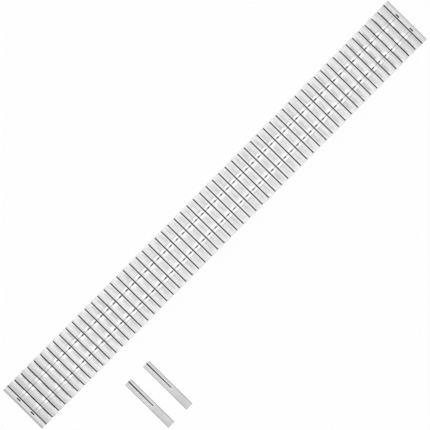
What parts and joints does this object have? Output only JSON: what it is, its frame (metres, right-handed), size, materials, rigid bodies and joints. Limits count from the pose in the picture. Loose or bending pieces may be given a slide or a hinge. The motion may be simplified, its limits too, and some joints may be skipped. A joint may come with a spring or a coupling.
{
  "type": "expansion watch band",
  "caption": "Spring-loaded expansion watch band: staggered upper and lower link rows, creased brushed shells, rolled lug ends and loose spare lug sleeves.",
  "frame": {"origin": "centre of the lug bore in the left end link", "axes": "+X along the band to the right end, +Y across the band along the lug bore, +Z out of the decorated face"},
  "size_m": [0.1793, 0.0473, 0.0027],
  "materials": {
    "creased_shell": "fine crosswise brushing with polished creases",
    "rolled_end": "fine crosswise brushing, rolled outer edge",
    "box_sleeve": "plain drawn strip",
    "side_bracket": "tumbled strip",
    "spring_leaf": "cold-rolled spring strip",
    "lug_sleeve": "drawn, with fine lengthwise lines"
  },
  "bodies": {
    "run_1": {"top_shells_1": "creased_shell", "upper_sleeves_1": "box_sleeve", "lower_sleeves_1": "box_sleeve", "leaf_springs_1": "spring_leaf", "side_brackets_1": "side_bracket", "end_link_left": "rolled_end"},
    "run_2": {"top_shells_2": "creased_shell", "upper_sleeves_2": "box_sleeve", "lower_sleeves_2": "box_sleeve", "leaf_springs_2": "spring_leaf", "side_brackets_2": "side_bracket"},
    "run_3": {"top_shells_3": "creased_shell", "upper_sleeves_3": "box_sleeve", "lower_sleeves_3": "box_sleeve", "leaf_springs_3": "spring_leaf", "side_brackets_3": "side_bracket"},
    "run_4": {"top_shells_4": "creased_shell", "upper_sleeves_4": "box_sleeve", "lower_sleeves_4": "box_sleeve", "leaf_springs_4": "spring_leaf", "side_brackets_4": "side_bracket"},
    "run_5": {"top_shells_5": "creased_shell", "upper_sleeves_5": "box_sleeve", "lower_sleeves_5": "box_sleeve", "leaf_springs_5": "spring_leaf", "side_brackets_5": "side_bracket"},
    "run_6": {"top_shells_6": "creased_shell", "upper_sleeves_6": "box_sleeve", "lower_sleeves_6": "box_sleeve", "leaf_springs_6": "spring_leaf", "side_brackets_6": "side_bracket"},
    "run_7": {"top_shells_7": "creased_shell", "upper_sleeves_7": "box_sleeve", "lower_sleeves_7": "box_sleeve", "leaf_springs_7": "spring_leaf", "side_brackets_7": "side_bracket", "end_link_right": "rolled_end"},
    "hinge_brackets_1": {"hinge_brackets_1": "side_bracket"},
    "hinge_link_1": {"hinge_link_1": "box_sleeve", "hinge_spring_1": "spring_leaf"},
    "hinge_brackets_2": {"hinge_brackets_2": "side_bracket"},
    "hinge_link_2": {"hinge_link_2": "box_sleeve", "hinge_spring_2": "spring_leaf"},
    "hinge_brackets_3": {"hinge_brackets_3": "side_bracket"},
    "hinge_link_3": {"hinge_link_3": "box_sleeve", "hinge_spring_3": "spring_leaf"},
    "hinge_brackets_4": {"hinge_brackets_4": "side_bracket"},
    "hinge_link_4": {"hinge_link_4": "box_sleeve", "hinge_spring_4": "spring_leaf"},
    "hinge_brackets_5": {"hinge_brackets_5": "side_bracket"},
    "hinge_link_5": {"hinge_link_5": "box_sleeve", "hinge_spring_5": "spring_leaf"},
    "hinge_brackets_6": {"hinge_brackets_6": "side_bracket"},
    "hinge_link_6": {"hinge_link_6": "box_sleeve", "hinge_spring_6": "spring_leaf"},
    "spare_1": {"spare_sleeve_1": "lug_sleeve"},
    "spare_2": {"spare_sleeve_2": "lug_sleeve"},
    "lug_left": {"lug_sleeve_left": "lug_sleeve"},
    "lug_right": {"lug_sleeve_right": "lug_sleeve"}
  },
  "joints": [
    {"name": "tilt_1", "type": "hinge", "parent": "run_2", "child": "hinge_brackets_1", "pos_m": [0.02468, 0, 0.00101], "axis": [0, 1, 0], "range_deg": [0, 35], "stiffness_Nm_per_rad": 0.0125, "springref_deg": -11.46, "deforming": ["leaf_springs_2"]},
    {"name": "stretch_1", "type": "hinge", "parent": "hinge_brackets_1", "child": "hinge_link_1", "pos_m": [0.02532, 0, -0.00101], "axis": [0, -1, 0], "range_deg": [0, 35], "stiffness_Nm_per_rad": 0.0125, "springref_deg": -11.46, "deforming": ["hinge_spring_1"]},
    {"name": "curl_1", "type": "hinge", "parent": "hinge_link_1", "child": "run_1", "pos_m": [0.0232, 0, -0.00101], "axis": [0, -1, 0], "range_deg": [0, 35], "stiffness_Nm_per_rad": 0.0125, "springref_deg": -11.46},
    {"name": "tilt_2", "type": "hinge", "parent": "run_3", "child": "hinge_brackets_2", "pos_m": [0.04842, 0, 0.00101], "axis": [0, 1, 0], "range_deg": [0, 35], "stiffness_Nm_per_rad": 0.0125, "springref_deg": -11.46, "deforming": ["leaf_springs_3"]},
    {"name": "stretch_2", "type": "hinge", "parent": "hinge_brackets_2", "child": "hinge_link_2", "pos_m": [0.04906, 0, -0.00101], "axis": [0, -1, 0], "range_deg": [0, 35], "stiffness_Nm_per_rad": 0.0125, "springref_deg": -11.46, "deforming": ["hinge_spring_2"]},
    {"name": "curl_2", "type": "hinge", "parent": "hinge_link_2", "child": "run_2", "pos_m": [0.04693, 0, -0.00101], "axis": [0, -1, 0], "range_deg": [0, 35], "stiffness_Nm_per_rad": 0.0125, "springref_deg": -11.46},
    {"name": "tilt_3", "type": "hinge", "parent": "run_4", "child": "hinge_brackets_3", "pos_m": [0.07512, 0, 0.00101], "axis": [0, 1, 0], "range_deg": [0, 35], "stiffness_Nm_per_rad": 0.0125, "springref_deg": -11.46, "deforming": ["leaf_springs_4"]},
    {"name": "stretch_3", "type": "hinge", "parent": "hinge_brackets_3", "child": "hinge_link_3", "pos_m": [0.07576, 0, -0.00101], "axis": [0, -1, 0], "range_deg": [0, 35], "stiffness_Nm_per_rad": 0.0125, "springref_deg": -11.46, "deforming": ["hinge_spring_3"]},
    {"name": "curl_3", "type": "hinge", "parent": "hinge_link_3", "child": "run_3", "pos_m": [0.07364, 0, -0.00101], "axis": [0, -1, 0], "range_deg": [0, 35], "stiffness_Nm_per_rad": 0.0125, "springref_deg": -11.46},
    {"name": "tilt_4", "type": "hinge", "parent": "run_4", "child": "hinge_brackets_4", "pos_m": [0.10098, 0, 0.00101], "axis": [0, -1, 0], "range_deg": [0, 35], "stiffness_Nm_per_rad": 0.0125, "springref_deg": -11.46, "deforming": ["leaf_springs_4"]},
    {"name": "stretch_4", "type": "hinge", "parent": "hinge_brackets_4", "child": "hinge_link_4", "pos_m": [0.10034, 0, -0.00101], "axis": [0, 1, 0], "range_deg": [0, 35], "stiffness_Nm_per_rad": 0.0125, "springref_deg": -11.46, "deforming": ["hinge_spring_4"]},
    {"name": "curl_4", "type": "hinge", "parent": "hinge_link_4", "child": "run_5", "pos_m": [0.10247, 0, -0.00101], "axis": [0, 1, 0], "range_deg": [0, 35], "stiffness_Nm_per_rad": 0.0125, "springref_deg": -11.46},
    {"name": "tilt_5", "type": "hinge", "parent": "run_5", "child": "hinge_brackets_5", "pos_m": [0.12769, 0, 0.00101], "axis": [0, -1, 0], "range_deg": [0, 35], "stiffness_Nm_per_rad": 0.0125, "springref_deg": -11.46, "deforming": ["leaf_springs_5"]},
    {"name": "stretch_5", "type": "hinge", "parent": "hinge_brackets_5", "child": "hinge_link_5", "pos_m": [0.12704, 0, -0.00101], "axis": [0, 1, 0], "range_deg": [0, 35], "stiffness_Nm_per_rad": 0.0125, "springref_deg": -11.46, "deforming": ["hinge_spring_5"]},
    {"name": "curl_5", "type": "hinge", "parent": "hinge_link_5", "child": "run_6", "pos_m": [0.12917, 0, -0.00101], "axis": [0, 1, 0], "range_deg": [0, 35], "stiffness_Nm_per_rad": 0.0125, "springref_deg": -11.46},
    {"name": "tilt_6", "type": "hinge", "parent": "run_6", "child": "hinge_brackets_6", "pos_m": [0.15142, 0, 0.00101], "axis": [0, -1, 0], "range_deg": [0, 35], "stiffness_Nm_per_rad": 0.0125, "springref_deg": -11.46, "deforming": ["leaf_springs_6"]},
    {"name": "stretch_6", "type": "hinge", "parent": "hinge_brackets_6", "child": "hinge_link_6", "pos_m": [0.15078, 0, -0.00101], "axis": [0, 1, 0], "range_deg": [0, 35], "stiffness_Nm_per_rad": 0.0125, "springref_deg": -11.46, "deforming": ["hinge_spring_6"]},
    {"name": "curl_6", "type": "hinge", "parent": "hinge_link_6", "child": "run_7", "pos_m": [0.15291, 0, -0.00101], "axis": [0, 1, 0], "range_deg": [0, 35], "stiffness_Nm_per_rad": 0.0125, "springref_deg": -11.46},
    {"name": "lift_spare_1", "type": "slide", "parent": "run_4", "child": "spare_1", "axis": [0, 0, 1], "range_m": [0, 0.02]},
    {"name": "lift_spare_2", "type": "slide", "parent": "run_4", "child": "spare_2", "axis": [0, 0, 1], "range_m": [0, 0.02]},
    {"name": "swap_sleeve_left", "type": "slide", "parent": "run_1", "child": "lug_left", "axis": [0, 1, 0], "range_m": [0, 0.018]},
    {"name": "swap_sleeve_right", "type": "slide", "parent": "run_7", "child": "lug_right", "axis": [0, 1, 0], "range_m": [0, 0.018]}
  ],
  "couplings": [
    {"joint": "tilt_1", "follows": "stretch_1", "ratio": 1},
    {"joint": "tilt_2", "follows": "stretch_2", "ratio": 1},
    {"joint": "tilt_3", "follows": "stretch_3", "ratio": 1},
    {"joint": "tilt_4", "follows": "stretch_4", "ratio": 1},
    {"joint": "tilt_5", "follows": "stretch_5", "ratio": 1},
    {"joint": "tilt_6", "follows": "stretch_6", "ratio": 1}
  ]
}
